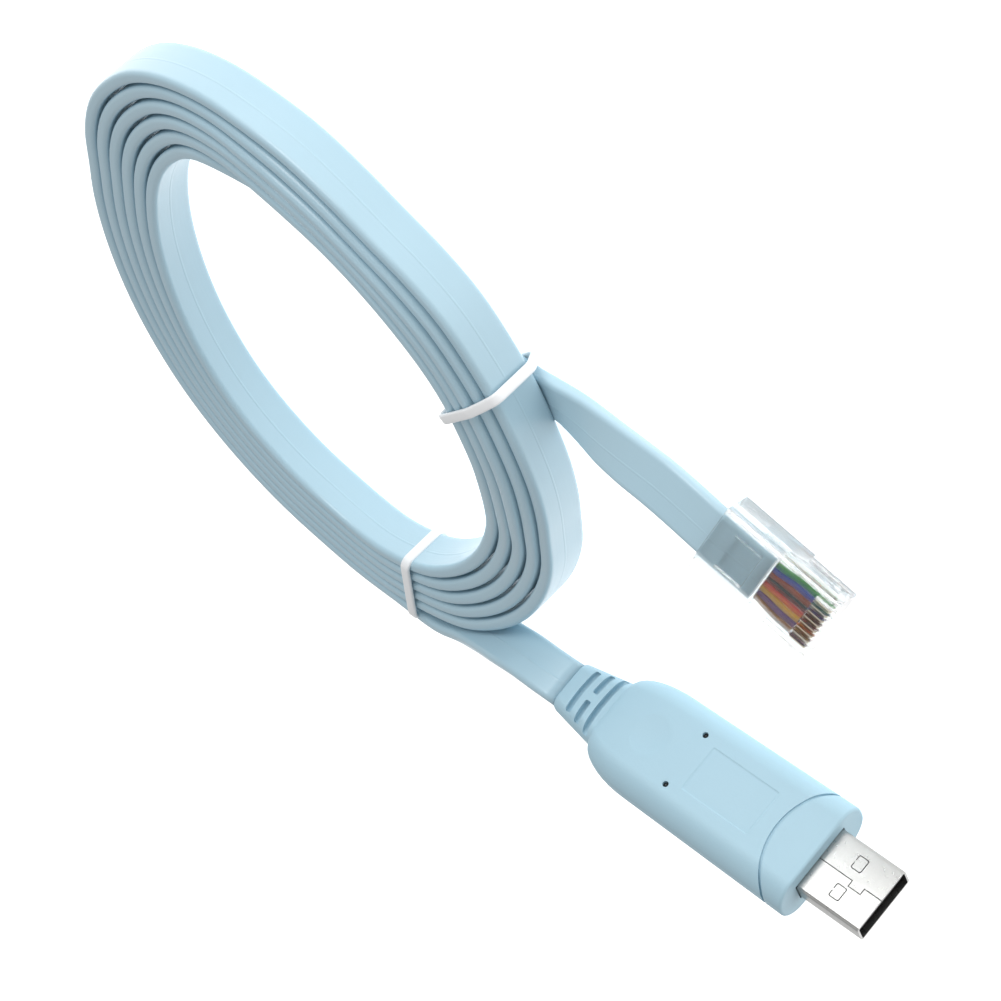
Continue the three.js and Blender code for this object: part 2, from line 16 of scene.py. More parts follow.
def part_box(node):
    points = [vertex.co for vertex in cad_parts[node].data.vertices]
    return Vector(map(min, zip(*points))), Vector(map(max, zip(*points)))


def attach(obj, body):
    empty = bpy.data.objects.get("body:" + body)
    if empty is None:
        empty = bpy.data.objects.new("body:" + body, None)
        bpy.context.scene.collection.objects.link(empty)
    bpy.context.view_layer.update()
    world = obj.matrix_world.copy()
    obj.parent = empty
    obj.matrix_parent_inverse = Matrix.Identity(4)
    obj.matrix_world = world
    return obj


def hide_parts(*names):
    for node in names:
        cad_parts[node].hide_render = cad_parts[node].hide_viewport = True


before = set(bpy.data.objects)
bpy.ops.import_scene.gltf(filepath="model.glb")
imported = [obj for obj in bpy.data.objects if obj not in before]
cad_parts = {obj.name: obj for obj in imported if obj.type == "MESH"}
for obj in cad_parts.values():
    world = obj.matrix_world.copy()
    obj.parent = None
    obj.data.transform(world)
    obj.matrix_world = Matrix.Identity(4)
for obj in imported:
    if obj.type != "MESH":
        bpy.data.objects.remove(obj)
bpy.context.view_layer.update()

LOG = logging.getLogger("console_cable")

MM = 0.001
PLUG_LEAN = math.radians(12.0)
PLUG_AXIS = (-20.15, 0.0)
JACK_FACE = Vector((-1.3, -70.4, 8.9))
JACK_YAW = math.radians(163.6)
JACK_TILT = math.radians(52.8)
CABLE_WIDTH = 8.2
CABLE_THICKNESS = 2.4
JACKET_WALL = 1.25
CABLE_DEPTH = JACKET_WALL + CABLE_THICKNESS / 2

Point = tuple[float, float, float]
Colour = tuple[float, float, float]


class Side(Enum):
    """The two broad faces of the USB plug."""

    SHOWN = -1
    HIDDEN = 1


def srgb(red: int, green: int, blue: int) -> Colour:
    """Gives the linear colour of an 8-bit display colour.

    Args:
        red: Red, 0 to 255.
        green: Green, 0 to 255.
        blue: Blue, 0 to 255.

    Returns:
        The colour in linear light.
    """
    def linear(value: int) -> float:
        share = value / 255
        return share / 12.92 if share <= 0.04045 else ((share + 0.055) / 1.055) ** 2.4

    return linear(red), linear(green), linear(blue)


def clear_selection() -> None:
    """Leaves edit mode and deselects everything."""
    if bpy.context.object is not None and bpy.context.object.mode != "OBJECT":
        bpy.ops.object.mode_set(mode="OBJECT")
    bpy.ops.object.select_all(action="DESELECT")


def only(piece: bpy.types.Object) -> None:
    """Makes one object the selected and active one.

    Args:
        piece: The object to work on.
    """
    clear_selection()
    piece.select_set(True)
    bpy.context.view_layer.objects.active = piece


def settle(name: str) -> bpy.types.Object:
    """Names the active object and puts its place into its mesh.

    Args:
        name: The piece's name.

    Returns:
        The named object, unturned and unscaled at the origin.
    """
    piece = bpy.context.object
    piece.name = name
    piece.data.name = name
    only(piece)
    bpy.ops.object.transform_apply(location=True, rotation=True, scale=True)
    return piece


def add_box(name: str, low: Sequence[float], high: Sequence[float]) -> bpy.types.Object:
    """Adds a box between two corners in millimetres.

    Args:
        name: The object's name.
        low: Lowest corner.
        high: Highest corner.

    Returns:
        The box.
    """
    clear_selection()
    middle = [(a + b) / 2 * MM for a, b in zip(low, high)]
    size = [(b - a) * MM for a, b in zip(low, high)]
    bpy.ops.mesh.primitive_cube_add(size=1, location=middle)
    bpy.context.object.scale = size
    return settle(name)


def use_modifier(piece: bpy.types.Object, kind: str, **settings: object) -> None:
    """Adds a modifier, sets it and applies it.

    Args:
        piece: The object.
        kind: The modifier's type.
        settings: Its settings.
    """
    only(piece)
    modifier = piece.modifiers.new(kind.title(), kind)
    for key, value in settings.items():
        setattr(modifier, key, value)
    bpy.ops.object.modifier_apply(modifier=modifier.name)


def cut(piece: bpy.types.Object, cutters: Iterable[bpy.types.Object],
        operation: str = "DIFFERENCE") -> None:
    """Cuts a piece with others, or joins them, and removes them.

    Args:
        piece: The object that stays.
        cutters: The objects that are used up.
        operation: What the boolean does.
    """
    for cutter in cutters:
        use_modifier(piece, "BOOLEAN", object=cutter, operation=operation, solver="EXACT")
        bpy.data.objects.remove(cutter)


def soften(piece: bpy.types.Object, width: float, segments: int = 2, angle: float = 35.0) -> None:
    """Rounds a piece's sharp edges and shades it smooth.

    Args:
        piece: The object.
        width: Width of the rounding in millimetres.
        segments: How many strips the rounding has.
        angle: Edges sharper than this, in degrees, are rounded.
    """
    only(piece)
    bpy.ops.object.mode_set(mode="EDIT")
    bpy.ops.mesh.select_all(action="SELECT")
    bpy.ops.mesh.remove_doubles(threshold=0.002 * MM)
    bpy.ops.mesh.normals_make_consistent(inside=False)
    bpy.ops.object.mode_set(mode="OBJECT")
    if width > 0:
        use_modifier(piece, "BEVEL", width=width * MM, segments=segments, limit_method="ANGLE",
                     angle_limit=math.radians(angle), use_clamp_overlap=True)
    bpy.ops.object.shade_smooth_by_angle(angle=math.radians(32))
    use_modifier(piece, "WEIGHTED_NORMAL", keep_sharp=True)


def slice_across(piece: bpy.types.Object, axis: int, places: Iterable[float]) -> None:
    """Adds edges to a piece where planes square to one axis meet it.

    Args:
        piece: The object.
        axis: The axis, 0 to 2.
        places: Where the planes stand along it, in millimetres.
    """
    normal = [float(axis == i) for i in range(3)]
    only(piece)
    bpy.ops.object.mode_set(mode="EDIT")
    for place in places:
        bpy.ops.mesh.select_all(action="SELECT")
        bpy.ops.mesh.bisect(plane_co=[value * place * MM for value in normal], plane_no=normal)
    bpy.ops.object.mode_set(mode="OBJECT")


def add_mesh(name: str, mesh: bmesh.types.BMesh) -> bpy.types.Object:
    """Turns a finished mesh into an object of the scene.

    Args:
        name: The object's name.
        mesh: The mesh, which is freed.

    Returns:
        The object.
    """
    bmesh.ops.recalc_face_normals(mesh, faces=mesh.faces)
    data = bpy.data.meshes.new(name)
    mesh.to_mesh(data)
    mesh.free()
    piece = bpy.data.objects.new(name, data)
    bpy.context.scene.collection.objects.link(piece)
    return piece


def rounded_face(name: str, x: float, thickness: float, width: float, radius: float,
                 segments: int) -> bpy.types.Object:
    """Adds a rounded rectangle that faces along X.

    Args:
        name: The object's name.
        x: Where it stands along X, in millimetres.
        thickness: Its size along Y.
        width: Its size along Z.
        radius: Radius of its corners.
        segments: Points along each corner.

    Returns:
        An object with that one face, in edit mode with the face selected.
    """
    clear_selection()
    bpy.ops.mesh.primitive_plane_add(size=1, location=(x * MM, 0, 0), rotation=(0, math.pi / 2, 0))
    bpy.context.object.scale = (width * MM, thickness * MM, 1)
    piece = settle(name)
    bpy.ops.object.mode_set(mode="EDIT")
    bpy.ops.mesh.select_all(action="SELECT")
    bpy.ops.mesh.bevel(offset=radius * MM, segments=segments, affect="VERTICES", profile=0.5)
    bpy.ops.mesh.select_all(action="SELECT")
    return piece


def draw_out(step: float, thickness: float, width: float, x: float) -> None:
    """Extrudes the selected face along X and resizes it.

    Args:
        step: How far it goes, in millimetres.
        thickness: Factor along Y.
        width: Factor along Z.
        x: Where the new face stands, in millimetres.
    """
    bpy.ops.mesh.extrude_region_move(TRANSFORM_OT_translate={"value": (step * MM, 0, 0)})
    bpy.ops.transform.resize(value=(1, thickness, width), center_override=(x * MM, 0, 0))


def plug_matrix() -> Matrix:
    """Gives the place of the leaning USB plug's own frame."""
    return Matrix.Translation((PLUG_AXIS[0] * MM, PLUG_AXIS[1] * MM, UsbPlug.axis_height())) @ \
        Matrix.Rotation(-PLUG_LEAN, 4, "X")


def jack_matrix() -> Matrix:
    """Gives the place of the modular plug's own frame."""
    return Matrix.Translation(JACK_FACE * MM) @ Matrix.Rotation(JACK_YAW, 4, "Z") @ \
        Matrix.Rotation(JACK_TILT - math.pi / 2, 4, "X")


class NodeMaterial:
    """A node material under construction."""

    def __init__(self, name: str, values: dict[str, object]) -> None:
        """Adds the material.

        Args:
            name: The material's name.
            values: Inputs of its shader.
        """
        self.material = bpy.data.materials.new(name)
        self.material.use_nodes = True
        self.tree = self.material.node_tree
        self.shader = self.tree.nodes["Principled BSDF"]
        for key, value in values.items():
            self.shader.inputs[key].default_value = value
        self.place = self.add("ShaderNodeTexCoord", {}, {})

    def add(self, kind: str, values: dict[str | int, object],
            links: dict[str | int, bpy.types.NodeSocket]) -> bpy.types.Node:
        """Adds one node.

        Args:
            kind: The node's type.
            values: Its plain inputs.
            links: Its linked inputs.

        Returns:
            The node.
        """
        node = self.tree.nodes.new(kind)
        if kind == "ShaderNodeMix":
            node.data_type = "RGBA"
        for key, value in values.items():
            node.inputs[key].default_value = value
        for key, socket in links.items():
            self.tree.links.new(socket, node.inputs[key])
        return node

    def stretch(self, source: str, scale: Sequence[float]) -> bpy.types.NodeSocket:
        """Gives coordinates that have their own scale on each axis."""
        links = {"Vector": self.place.outputs[source]}
        return self.add("ShaderNodeMapping", {"Scale": scale}, links).outputs["Vector"]

    def noise(self, scale: float, detail: float, at: bpy.types.NodeSocket) -> bpy.types.NodeSocket:
        """Gives a noise at the given coordinates."""
        values = {"Scale": scale, "Detail": detail}
        return self.add("ShaderNodeTexNoise", values, {"Vector": at}).outputs["Fac"]

    def tint(self, noise: bpy.types.NodeSocket, first: Sequence[float], second: Sequence[float]) -> None:
        """Lets a noise mix the base colour from two colours."""
        mix = self.add("ShaderNodeMix", {6: (*first, 1), 7: (*second, 1)}, {0: noise})
        self.tree.links.new(mix.outputs[2], self.shader.inputs["Base Color"])

    def relief(self, noise: bpy.types.NodeSocket, rough: tuple[float, float], strength: float,
               height: float) -> None:
        """Lets a noise drive the roughness and a fine relief.

        Args:
            noise: The noise.
            rough: Lowest and highest roughness.
            strength: Strength of the relief.
            height: Its height in millimetres.
        """
        span = self.add("ShaderNodeMapRange", {"To Min": rough[0], "To Max": rough[1]}, {"Value": noise})
        self.tree.links.new(span.outputs["Result"], self.shader.inputs["Roughness"])
        bump = self.add("ShaderNodeBump", {"Strength": strength, "Distance": height * MM},
                        {"Height": noise})
        self.tree.links.new(bump.outputs["Normal"], self.shader.inputs["Normal"])


@dataclass(frozen=True)
class VinylFinish:
    """Soft moulded or extruded vinyl with a fine grain."""

    name: str
    colour: Colour
    shade: Colour
    roughness: float
    grain_scale: float
    grain_height: float
    coat: float = 0.0
    streaks: bool = False
    mottle_scale: float = 55.0
    streak_scale: tuple[float, float, float] = (12.0, 1400.0, 1.0)

    def make(self) -> bpy.types.Material:
        """Builds the material.

        Returns:
            The node material.
        """
        nodes = NodeMaterial(self.name, {"Coat Weight": self.coat, "Coat Roughness": 0.25, "IOR": 1.5})
        whole = nodes.place.outputs["Object"]
        nodes.tint(nodes.noise(self.mottle_scale, 3, whole), self.colour, self.shade)
        at = nodes.stretch("UV", self.streak_scale) if self.streaks else whole
        nodes.relief(nodes.noise(self.grain_scale, 4, at), (self.roughness - 0.05, self.roughness + 0.07),
                     0.5, self.grain_height)
        return nodes.material


@dataclass(frozen=True)
class MetalFinish:
    """Plated metal with faint drawing lines along one axis."""

    name: str
    colour: Colour
    roughness: float
    line_scale: tuple[float, float, float]
    line_height: float

    def make(self) -> bpy.types.Material:
        """Builds the material.

        Returns:
            The node material.
        """
        nodes = NodeMaterial(self.name, {"Metallic": 1.0})
        lines = nodes.noise(1, 5, nodes.stretch("Object", self.line_scale))
        nodes.tint(lines, self.colour, [value * 0.9 for value in self.colour])
        nodes.relief(lines, (self.roughness - 0.04, self.roughness + 0.08), 0.3, self.line_height)
        return nodes.material


@dataclass(frozen=True)
class ClearFinish:
    """Clear moulded plastic with faint flow marks."""

    name: str
    tint: Colour = (0.96, 0.98, 0.98)
    density: float = 0.75
    flow_scale: float = 380.0
    flow_height: float = 0.05

    def make(self) -> bpy.types.Material:
        """Builds the material.

        Returns:
            The node material.
        """
        nodes = NodeMaterial(self.name, {"Base Color": (*self.tint, 1), "Transmission Weight": 1.0,
                                         "Alpha": self.density, "IOR": 1.45})
        flow = nodes.noise(self.flow_scale, 2, nodes.place.outputs["Object"])
        nodes.relief(flow, (0.0, 0.05), 0.25, self.flow_height)
        return nodes.material


CABLE_VINYL = VinylFinish("cable_vinyl", srgb(174, 204, 218), srgb(169, 200, 214), 0.33, 1.0, 0.02,
                          coat=0.45, streaks=True)
HOUSING_VINYL = VinylFinish("housing_vinyl", srgb(171, 203, 217), srgb(166, 199, 214), 0.5, 2600, 0.03)
TIE_PLASTIC = VinylFinish("tie_plastic", srgb(246, 247, 248), srgb(240, 242, 244), 0.42, 900, 0.02)
TONGUE_PLASTIC = VinylFinish("tongue_plastic", srgb(26, 28, 29), srgb(20, 22, 22), 0.42, 2200, 0.02)
SHELL_NICKEL = MetalFinish("shell_nickel", srgb(180, 180, 178), 0.27, (1500, 1500, 1500), 0.05)
CONTACT_GOLD = MetalFinish("contact_gold", srgb(226, 184, 92), 0.22, (300, 3000, 3000), 0.01)
BLADE_GOLD = MetalFinish("blade_gold", srgb(226, 219, 202), 0.28, (300, 3000, 3000), 0.01)
CLEAR_PLASTIC = ClearFinish("clear_plastic")
WIRE_COLOURS: dict[str, Colour] = {
    "green": srgb(20, 132, 48),
    "blue": srgb(28, 66, 160),
    "brown": srgb(150, 62, 22),
    "black": srgb(18, 16, 18),
    "red": srgb(206, 60, 34),
    "yellow": srgb(216, 164, 28),
    "purple": srgb(104, 66, 128),
    "tan": srgb(158, 106, 52),
}


def dress(piece: bpy.types.Object, material: bpy.types.Material) -> None:
    """Gives a piece its material and its slot in the record.

    Args:
        piece: The object.
        material: The finish.
    """
    piece.data.materials.clear()
    piece.data.materials.append(material)
    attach(piece, "root")
    LOG.info("%s: %d faces", piece.name, len(piece.data.polygons))


@dataclass
class Studio:
    """Camera, floor and soft lights."""

    azimuth: float = -29.48
    elevation: float = 22.0
    roll: float = 133.80
    distance: float = 642.0
    aim: Point = (54.05, -21.8, 0.0)
    lens_pixels: float = 4000.0
    frame_pixels: float = 1001.0
    middle: Point = (0.05, -0.03, 0.0)
    lights: Sequence[tuple[str, Point, float, float]] = (
        ("key", (0.35, -1.05, 0.3), 0.6, 4.5), ("top", (0.1, 0.1, 1.3), 0.9, 1.5))
    surround: float = 0.5
    floor_size: float = 30.0
    floor_drop: float = 0.00002
    floor_glow: float = 0.85

    def add_camera(self) -> None:
        """Adds the camera at the photograph's viewing angle."""
        azimuth, elevation = math.radians(self.azimuth), math.radians(self.elevation)
        back = Vector((math.sin(azimuth) * math.cos(elevation),
                       -math.cos(azimuth) * math.cos(elevation), math.sin(elevation)))
        level = Vector((math.cos(azimuth), math.sin(azimuth), 0))
        above = back.cross(level)
        roll = math.radians(self.roll)
        right = level * math.cos(roll) - above * math.sin(roll)
        up = level * math.sin(roll) + above * math.cos(roll)
        data = bpy.data.cameras.new("camera")
        data.sensor_width = 36
        data.lens = data.sensor_width * self.lens_pixels / self.frame_pixels
        data.clip_start = 0.01
        data.clip_end = 20
        camera = bpy.data.objects.new("camera", data)
        bpy.context.scene.collection.objects.link(camera)
        axes = Matrix((right, up, back)).transposed().to_4x4()
        camera.matrix_world = Matrix.Translation((Vector(self.aim) + back * self.distance) * MM) @ axes
        bpy.context.scene.camera = camera

    def add_light(self, name: str, place: Point, size: float, power: float) -> None:
        """Adds one square soft light that points at the middle.

        Args:
            name: The light's name.
            place: Where it hangs, in metres.
            size: Its side, in metres.
            power: Its power in watts.
        """
        data = bpy.data.lights.new(name, "AREA")
        data.size = size
        data.energy = power
        light = bpy.data.objects.new(name, data)
        light.location = place
        way = Vector(self.middle) - Vector(place)
        light.rotation_euler = way.to_track_quat("-Z", "Y").to_euler()
        bpy.context.scene.collection.objects.link(light)

    def add_floor(self) -> None:
        """Adds the pale floor."""
        clear_selection()
        bpy.ops.mesh.primitive_plane_add(size=self.floor_size, location=(0, 0, -self.floor_drop))
        floor = settle("floor")
        white = NodeMaterial("floor_white", {
            "Base Color": (0.9, 0.9, 0.9, 1), "Roughness": 0.9, "Specular IOR Level": 0.1,
            "Emission Color": (1, 1, 1, 1), "Emission Strength": self.floor_glow})
        floor.data.materials.append(white.material)

    def build(self) -> None:
        """Adds the floor, the lights and the surrounding light."""
        self.add_floor()
        for light in self.lights:
            self.add_light(*light)
        world = bpy.data.worlds.new("studio")
        world.use_nodes = True
        background = world.node_tree.nodes["Background"]
        background.inputs["Color"].default_value = (1, 1, 1, 1)
        background.inputs["Strength"].default_value = self.surround
        bpy.context.scene.world = world
        bpy.context.scene.view_settings.view_transform = "Standard"


@dataclass(frozen=True)
class Stop:
    """One chosen point of the cable's route, in millimetres, with its face's tilt in degrees."""

    at: Point
    tilt: float = 0.0


@dataclass(frozen=True)
class Station:
    """One point of the hank's inner edge, with the spacing of the turns there."""

    at: tuple[float, float]
    pitch: float


TIGHT = 2.58
LOOSE = 2.88


@dataclass
class FlatCable:
    """The flat cable from the modular plug through the hank to the USB plug."""

    jack_lead: Sequence[Stop] = (
        Stop((-10.37, -66.19, 6.95), 52.8), Stop((-5.6, -67.59, 6.95), 52.8),
        Stop((-0.88, -68.98, 6.95), 52.8), Stop((4.5, -70.1, 6.6), 51),
        Stop((10.5, -70.3, 5.9), 50), Stop((16.5, -69.6, 5.1), 53),
        Stop((22.5, -68.8, 4.1), 61), Stop((28.0, -68.0, 2.9), 73),
        Stop((33.0, -67.4, 2.2), 85), Stop((37.5, -67.0, 2.0), 90),
        Stop((43.0, -67.2, 2.0), 90), Stop((48.5, -67.8, 2.0), 90),
        Stop((53.5, -68.6, 2.0), 89), Stop((59.0, -70.2, 2.2), 83),
        Stop((65.0, -73.2, 3.1), 60), Stop((71.5, -77.0, 4.05), 32),
        Stop((78.0, -80.4, 4.2), 10), Stop((84.5, -82.6, 4.2), 0),
    )
    usb_lead: Sequence[Stop] = (
        Stop((32.65, 0.0, 10.2), 12), Stop((37.5, 0.1, 10.2), 12),
        Stop((42.5, 1.1, 9.7), 10), Stop((48.0, 3.9, 8.7), 7),
        Stop((54.0, 8.0, 7.1), 4), Stop((60.0, 12.1, 5.8), 1),
        Stop((66.0, 15.2, 5.4), 0),
    )
    stations: Sequence[Station] = (
        Station((48.7, -67.4), TIGHT), Station((56.0, -76.0), LOOSE), Station((66.5, -82.3), TIGHT),
        Station((80.0, -85.2), LOOSE), Station((93.5, -83.8), LOOSE), Station((105.0, -77.0), LOOSE),
        Station((113.0, -66.5), LOOSE), Station((117.5, -53.0), TIGHT), Station((118.5, -38.0), TIGHT),
        Station((116.0, -23.5), TIGHT), Station((110.0, -11.5), TIGHT), Station((100.5, -3.0), TIGHT),
        Station((89.0, 1.5), TIGHT), Station((76.5, 1.3), TIGHT), Station((64.5, -4.0), LOOSE),
        Station((55.7, -13.4), LOOSE), Station((49.7, -26.8), LOOSE), Station((45.7, -40.8), TIGHT),
        Station((44.9, -54.8), TIGHT),
    )
    coil_start: float = 4.4
    coil_end: float = 5 * 19 + 13.1
    shift_start: float = 3.0
    shift_end: float = 5.0
    crossing_lift: float = 3.3
    crossing_reach: tuple[float, float] = (5.2, 3.2)
    crossing_flat: float = 0.12
    stair: float = 0.8
    stair_turns: float = 2.0
    stair_flat: float = 0.5
    stair_slope: float = 0.6
    near_layers: float = 4.0
    tie_lift: float = 1.1
    tie_station: float = 13.5
    tie_flat: float = 0.2
    tie_slope: float = 1.5
    coil_step: float = 0.5
    ring_step: float = 2.2
    edge_radius: float = 0.85
    edge_steps: int = 5
    flat_half: float = 3.05
    ridge_height: float = 0.035
    ridge_half: float = 0.09
    ridge_support: float = 0.07
    ridge_at: float = 0.5
    length: float = field(default=0.0, init=False)
    path: list[Vector] = field(default_factory=list, init=False)

    def place_on_edge(self, place: float) -> tuple[Vector, Vector]:
        """Finds a point of the hank's inner edge and the way outwards.

        Args:
            place: How many stations on from the first, with a share.

        Returns:
            The point and the outward unit vector, seen from above.
        """
        count = len(self.stations)
        index = math.floor(place)
        share = place - index
        corners = [Vector(self.stations[(index + k - 1) % count].at) for k in range(4)]
        point, tangent = centripetal(corners, share)
        tangent.normalize()
        return point, Vector((tangent.y, -tangent.x))

    def pitch_at(self, place: float) -> float:
        """Gives the spacing of the turns at a place on the hank."""
        count = len(self.stations)
        index = math.floor(place)
        here, following = self.stations[index % count], self.stations[(index + 1) % count]
        return blend_numbers(here.pitch, following.pitch, smooth(place - index))

    def lift_at(self, place: float) -> float:
        """Gives how far the turns are raised over the crossing and the second tie."""
        count = len(self.stations)
        around = place % count
        ahead, behind = self.crossing_reach
        from_crossing = min(around / ahead, (count - around) / behind)
        crossing = self.crossing_lift * (
            1 - smooth((from_crossing - self.crossing_flat) / (1 - self.crossing_flat)))
        from_tie = abs(around - self.tie_station)
        tie = self.tie_lift * (1 - smooth((from_tie - self.tie_flat) / self.tie_slope))
        return max(crossing, tie)

    def stair_at(self, around: float, layer: float) -> float:
        """Gives how far an inner turn stands above the outermost one on the near side.

        Args:
            around: Place along the hank, in stations.
            layer: How many turns lie inside this one.

        Returns:
            The height in millimetres.
        """
        count = len(self.stations)
        ahead, behind = self.crossing_reach
        from_crossing = min(around / ahead, (count - around) / behind)
        nearness = 1 - smooth((from_crossing - self.stair_flat) / self.stair_slope)
        return self.stair * nearness * min(max(self.near_layers - layer, 0.0), self.stair_turns)

    def coil_stop(self, place: float) -> Stop:
        """Finds the cable's middle at one place along the spiral.

        Args:
            place: Stations passed since the start of the innermost turn.

        Returns:
            The point of the route there.
        """
        count = len(self.stations)
        turn, around = divmod(place, count)
        shift = smooth((around - self.shift_start) / (self.shift_end - self.shift_start))
        layer = turn - 1 + shift
        point, outward = self.place_on_edge(around)
        middle = point + outward * self.pitch_at(around) * (layer + 0.5)
        height = CABLE_WIDTH / 2 + self.lift_at(around) + self.stair_at(around, layer)
        return Stop((middle.x, middle.y, height), 0.0)

    def route(self) -> list[Stop]:
        """Lists the whole route from the modular plug to the USB plug."""
        stops = list(self.jack_lead)
        steps = round((self.coil_end - self.coil_start) / self.coil_step)
        stops += [self.coil_stop(self.coil_start + self.coil_step * i) for i in range(steps + 1)]
        stops += [Stop(stop.at, -stop.tilt) for stop in reversed(self.usb_lead)]
        return stops

    def sample(self) -> list[Stop]:
        """Spaces the route evenly along one smooth curve."""
        stops = self.route()
        points = [Vector(stop.at) for stop in stops]
        padded = [2 * points[0] - points[1], *points, 2 * points[-1] - points[-2]]
        fine: list[Stop] = []
        for i in range(len(points) - 1):
            count = max(2, round((points[i + 1] - points[i]).length / self.ring_step))
            for k in range(count):
                at, _ = centripetal(padded[i:i + 4], k / count)
                tilt = blend_numbers(stops[i].tilt, stops[i + 1].tilt, k / count)
                fine.append(Stop(tuple(at), tilt))
        fine.append(stops[-1])
        return fine

    def section(self) -> list[tuple[float, float]]:
        """Outlines the cable's section with its rounded edges and thin ridges."""
        half_width, half_thick = CABLE_WIDTH / 2, CABLE_THICKNESS / 2
        radius = self.edge_radius
        quarter = []
        for i in range(self.edge_steps + 1):
            angle = math.radians(90 / self.edge_steps * i)
            quarter.append((half_width - radius + radius * math.cos(angle),
                            half_thick - radius + radius * math.sin(angle)))
        foot = 2 * self.ridge_half
        steps = ((foot + self.ridge_support, 0), (foot, 0), (self.ridge_half, self.ridge_height),
                 (-self.ridge_half, self.ridge_height), (-foot, 0), (-foot - self.ridge_support, 0))
        ridge = [(self.ridge_at + step, half_thick + rise) for step, rise in steps]
        upper = [(self.flat_half, half_thick), *ridge, (-self.flat_half, half_thick)]
        top = quarter + upper + [(-w, n) for w, n in reversed(quarter)]
        bottom = [(-w, -n) for w, n in quarter] + [(w, -n) for w, n in reversed(upper)] \
            + [(w, -n) for w, n in reversed(quarter)]
        return top + bottom

    def build(self) -> bpy.types.Object:
        """Returns:
            The cable.
        """
        rings = self.sample()
        section = self.section()
        mesh = bmesh.new()
        uv_layer = mesh.loops.layers.uv.new("along")
        rows = []
        path = []
        run = 0.0
        for i, ring in enumerate(rings):
            at = Vector(ring.at)
            before, after = rings[max(i - 1, 0)].at, rings[min(i + 1, len(rings) - 1)].at
            along = (Vector(after) - Vector(before)).normalized()
            level = Vector((-along.y, along.x, 0)).normalized()
            upright = along.cross(level)
            tilt = math.radians(ring.tilt)
            across = upright * math.cos(tilt) + level * math.sin(tilt)
            normal = along.cross(across)
            rows.append([mesh.verts.new((at + across * w + normal * n) * MM) for w, n in section])
            if path:
                run += (at - Vector(rings[i - 1].at)).length
            path.append((at * MM, run))
        around = [0.0]
        for (w0, n0), (w1, n1) in zip(section, section[1:] + section[:1]):
            around.append(around[-1] + math.hypot(w1 - w0, n1 - n0))
        count = len(section)
        for i in range(len(rows) - 1):
            for j in range(count):
                k = (j + 1) % count
                face = mesh.faces.new((rows[i][j], rows[i][k], rows[i + 1][k], rows[i + 1][j]))
                face.smooth = True
                values = ((path[i][1], around[j]), (path[i][1], around[j + 1]),
                          (path[i + 1][1], around[j + 1]), (path[i + 1][1], around[j]))
                for loop, value in zip(face.loops, values):
                    loop[uv_layer].uv = Vector(value) * MM
        mesh.faces.new(rows[0])
        mesh.faces.new(rows[-1])
        cable = add_mesh("flat_cable", mesh)
        dress(cable, CABLE_VINYL.make())
        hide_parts("cable_coil", "cable_lead_usb", "cable_lead_rj45")
        self.length = run * MM
        self.path = [point for point, _ in path]
        LOG.info("cable length %.4f m", self.length)
        return cable


def smooth(share: float) -> float:
    """Eases a share from 0 to 1, held inside those ends."""
    share = min(max(share, 0.0), 1.0)
    return share * share * (3 - 2 * share)


def blend_numbers(first: float, second: float, share: float) -> float:
    """Mixes two numbers by a share."""
    return first + (second - first) * share


def centripetal(corners: Sequence[Vector], share: float) -> tuple[Vector, Vector]:
    """Finds a point between the middle two of four points on a centripetal curve.

    Args:
        corners: The four points.
        share: How far it lies from the second to the third.

    Returns:
        The point and the curve's direction there.
    """
    gaps = [max(math.sqrt((b - a).length), 1e-6) for a, b in zip(corners, corners[1:])]
    first, middle, last = gaps
    a, b, c, d = corners
    start = ((b - a) / first - (c - a) / (first + middle) + (c - b) / middle) * middle
    end = ((c - b) / middle - (d - b) / (middle + last) + (d - c) / last) * middle
    square, cube = share ** 2, share ** 3
    point = b * (2 * cube - 3 * square + 1) + start * (cube - 2 * square + share) \
        + c * (3 * square - 2 * cube) + end * (cube - square)
    direction = b * (6 * square - 6 * share) + start * (3 * square - 4 * share + 1) \
        + c * (6 * share - 6 * square) + end * (3 * square - 2 * share)
    return point, direction


